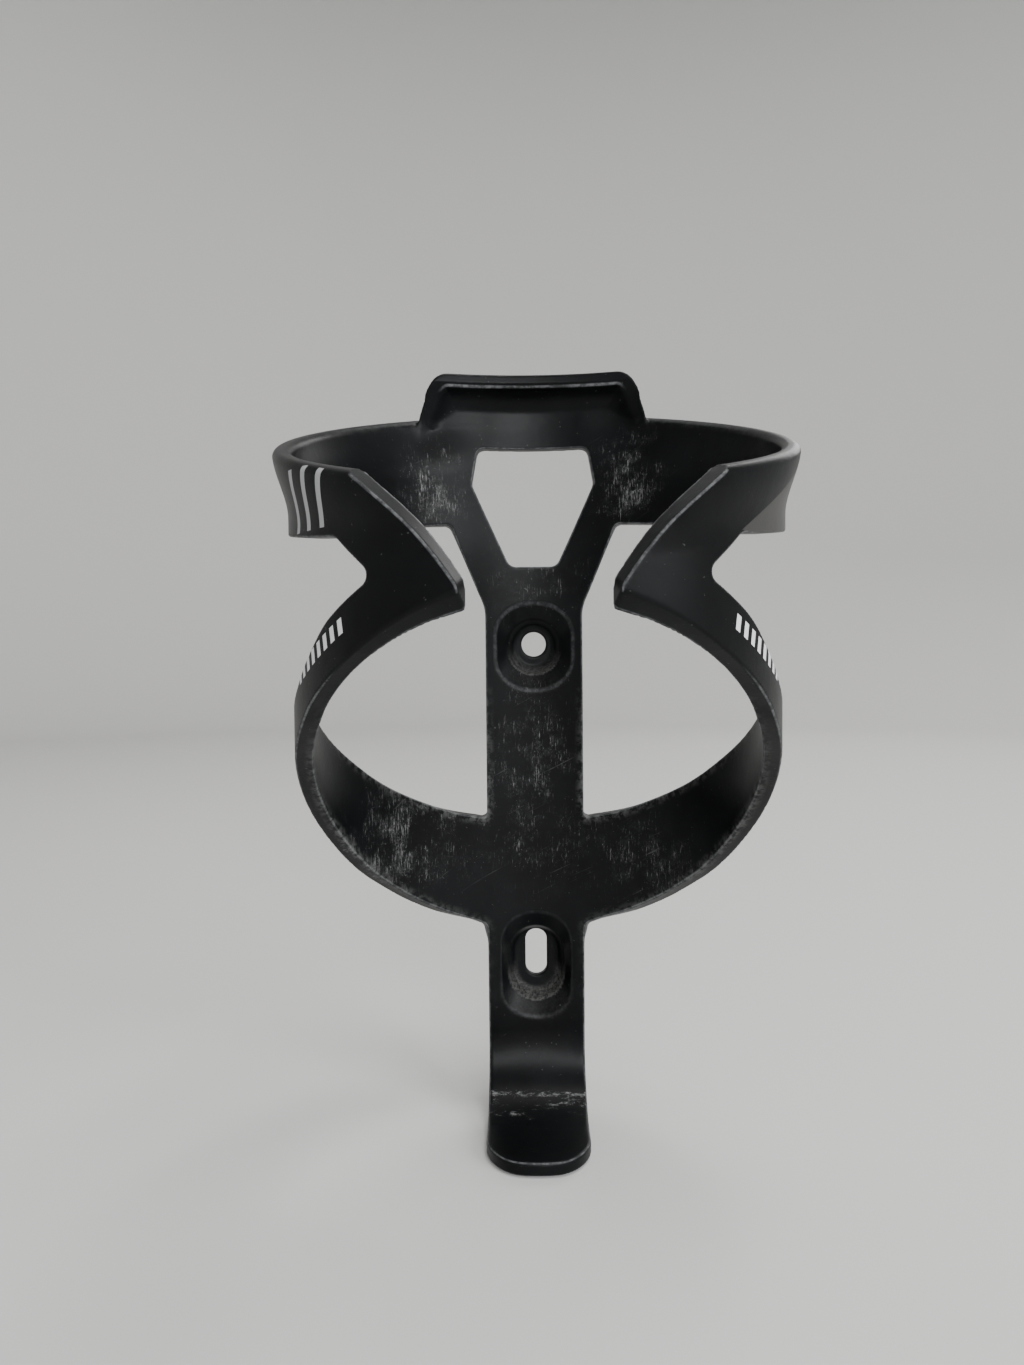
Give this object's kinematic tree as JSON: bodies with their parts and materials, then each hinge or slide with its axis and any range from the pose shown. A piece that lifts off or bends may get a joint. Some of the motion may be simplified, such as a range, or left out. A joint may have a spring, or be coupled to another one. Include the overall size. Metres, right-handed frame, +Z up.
{
  "type": "water bottle cage",
  "caption": "One-piece moulded bicycle bottle cage with a bolted spine, two wrap-around sprung arms, a top catch and a foot shelf.",
  "frame": {"origin": "centre of the upper bolt hole, on the rear face that meets the bicycle's tube", "axes": "+Z up along the bottle's axis, -Y towards the open front where the bottle shows, +X to the right seen from the front"},
  "size_m": [0.082, 0.0793, 0.1484],
  "materials": {
    "cage_plastic": "satin black fibre-filled nylon, lightly scuffed"
  },
  "bodies": {
    "spine": {"spine_rail": "cage_plastic", "upper_bolt_seat": "cage_plastic", "lower_bolt_seat": "cage_plastic", "window_yoke": "cage_plastic", "upper_back_band": "cage_plastic", "left_lower_root": "cage_plastic", "right_lower_root": "cage_plastic", "foot_bend": "cage_plastic", "foot_shelf": "cage_plastic"},
    "catch": {"catch_wall": "cage_plastic", "catch_lip": "cage_plastic"},
    "left_arm": {"left_upper_band": "cage_plastic", "left_wing": "cage_plastic", "left_lower_band": "cage_plastic"},
    "right_arm": {"right_upper_band": "cage_plastic", "right_wing": "cage_plastic", "right_lower_band": "cage_plastic"}
  },
  "joints": [
    {"name": "catch_flex", "type": "hinge", "parent": "spine", "child": "catch", "pos_m": [0, -0.0008, 0.0436], "axis": [-1, 0, 0], "range_deg": [0, 8], "stiffness_Nm_per_rad": 1},
    {"name": "left_arm_flex", "type": "hinge", "parent": "spine", "child": "left_arm", "pos_m": [-0.02494, -0.01198, 0], "axis": [0, 0, -1], "range_deg": [0, 4], "stiffness_Nm_per_rad": 6},
    {"name": "right_arm_flex", "type": "hinge", "parent": "spine", "child": "right_arm", "pos_m": [0.02494, -0.01198, 0], "axis": [0, 0, 1], "range_deg": [0, 4], "stiffness_Nm_per_rad": 6}
  ]
}
